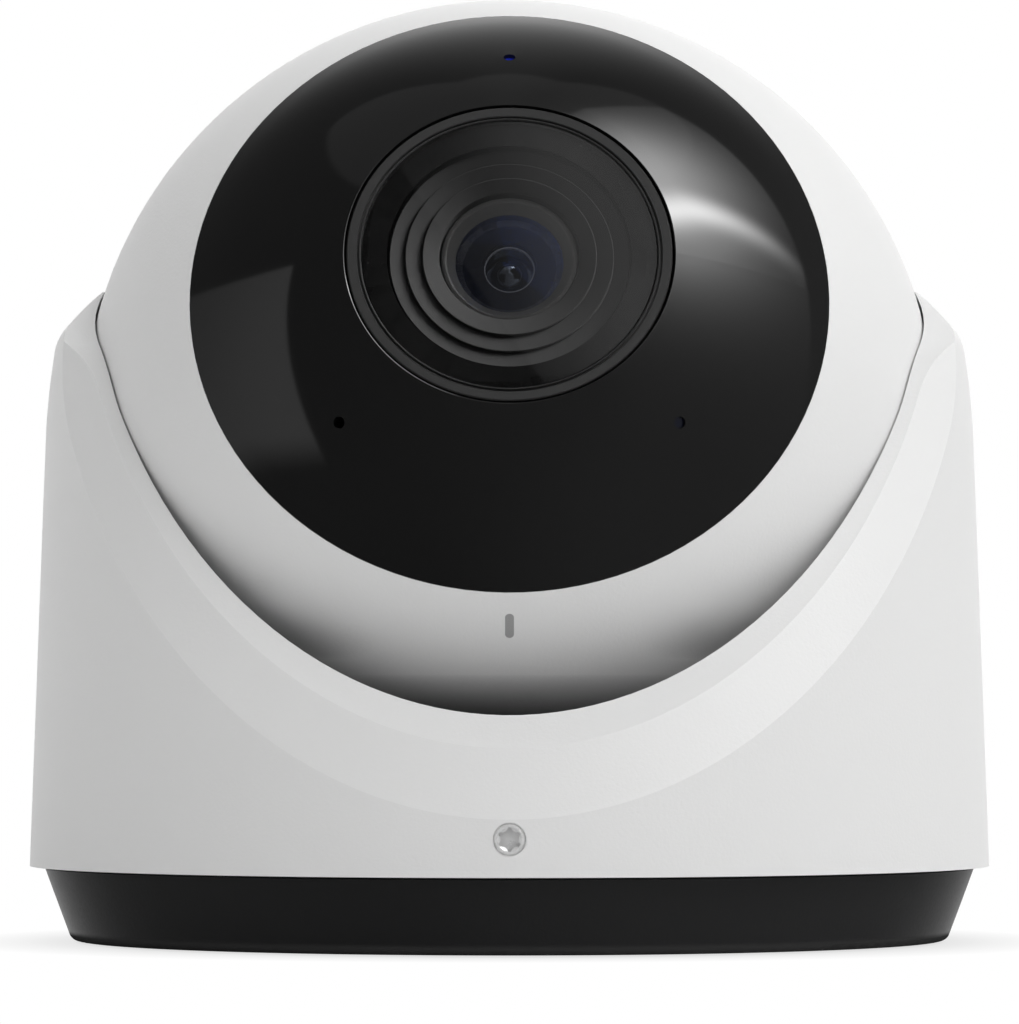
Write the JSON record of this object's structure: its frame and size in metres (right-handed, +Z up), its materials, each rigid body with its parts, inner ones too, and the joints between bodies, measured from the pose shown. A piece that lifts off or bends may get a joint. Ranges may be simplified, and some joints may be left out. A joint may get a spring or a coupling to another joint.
{
  "type": "turret security camera",
  "caption": "Turret security camera: a lens ball with a glossy face, held in a turning cover with a sloping rim, on a tapered foot that screws to a wall or ceiling.",
  "frame": {"origin": "centre of the foot's flat underside", "axes": "+Z up out of the foot along the pan axis, -Y the front where the lens looks at rest, +X to the viewer's right"},
  "size_m": [0.1199, 0.12, 0.1176],
  "materials": {
    "white_plastic": "fine moulded grain, satin",
    "black_plastic": "fine moulded grain, satin",
    "black_gloss": "polished",
    "black_trim": "satin",
    "black_anodised": "black anodised",
    "grey_plastic": "moulded",
    "pale_nylon": "moulded",
    "black_rubber": "matt",
    "foam": "closed-cell foam",
    "steel": "bright zinc",
    "bare_aluminium": "bare",
    "brass": "turned",
    "copper": "enamelled wire",
    "green_board": "solder mask",
    "chip_black": "moulded package",
    "lamp_epoxy": "clear tinted epoxy",
    "clear_pipe": "clear polycarbonate",
    "clear_glass": "polished, coated",
    "lens_glass": "polished, coated",
    "red_glass": "dichroic coated"
  },
  "bodies": {
    "base": {"foot": "black_plastic", "foot_gasket": "foam", "cable_gland": "black_rubber", "cover_seal": "black_rubber", "glide_ring": "pale_nylon"},
    "head": {"cover": "white_plastic", "lock_screw": "steel", "ball_cup": "grey_plastic", "seat_ring": "black_rubber", "cup_screws": "steel"},
    "swivel": {"harness_swivel": "pale_nylon", "swivel_nut": "pale_nylon"},
    "ball": {"front_shell": "white_plastic", "rear_shell": "white_plastic", "shell_seal": "black_rubber", "shell_screws": "steel", "faceplate": "black_gloss", "faceplate_gasket": "foam", "lens_bezel": "black_trim", "lens_window": "clear_glass", "window_gasket": "foam", "lens_baffle": "black_trim", "lens_barrel": "black_anodised", "front_lens": "lens_glass", "lens_iris": "black_anodised", "iris_ring": "black_anodised", "middle_lens": "lens_glass", "rear_lens": "lens_glass", "chassis": "bare_aluminium", "chassis_screws": "steel", "lens_mount": "black_trim", "filter_coil": "copper", "image_sensor": "chip_black", "sensor_board": "green_board", "sensor_spacers": "brass", "main_board": "green_board", "board_standoffs": "brass", "processor": "chip_black", "thermal_pad": "foam", "heat_sink": "bare_aluminium", "harness_header": "pale_nylon", "lamp_board": "green_board", "lamp_posts": "brass", "infrared_lamps": "lamp_epoxy", "microphone": "steel", "microphone_boot": "black_rubber", "status_lamp": "chip_black", "status_light_pipe": "clear_pipe", "light_sensor": "chip_black", "sensor_light_pipe": "clear_pipe"},
    "filter": {"filter_slider": "black_trim", "infrared_filter": "red_glass", "clear_filter": "clear_glass"}
  },
  "joints": [
    {"name": "pan", "type": "hinge", "parent": "base", "child": "head", "pos_m": [0, 0, 0.0642], "axis": [0, 0, 1], "range_deg": [-175, 175]},
    {"name": "tilt", "type": "hinge", "parent": "head", "child": "swivel", "pos_m": [0, 0, 0.0642], "axis": [-1, 0, 0], "range_deg": [-22.8, 67.2]},
    {"name": "roll", "type": "hinge", "parent": "swivel", "child": "ball", "pos_m": [0, 0, 0.0642], "axis": [0, -0.9219, 0.3875], "range_deg": [-175, 175]},
    {"name": "filter_shift", "type": "slide", "parent": "ball", "child": "filter", "axis": [-1, 0, 0], "range_m": [0, 0.01]}
  ]
}
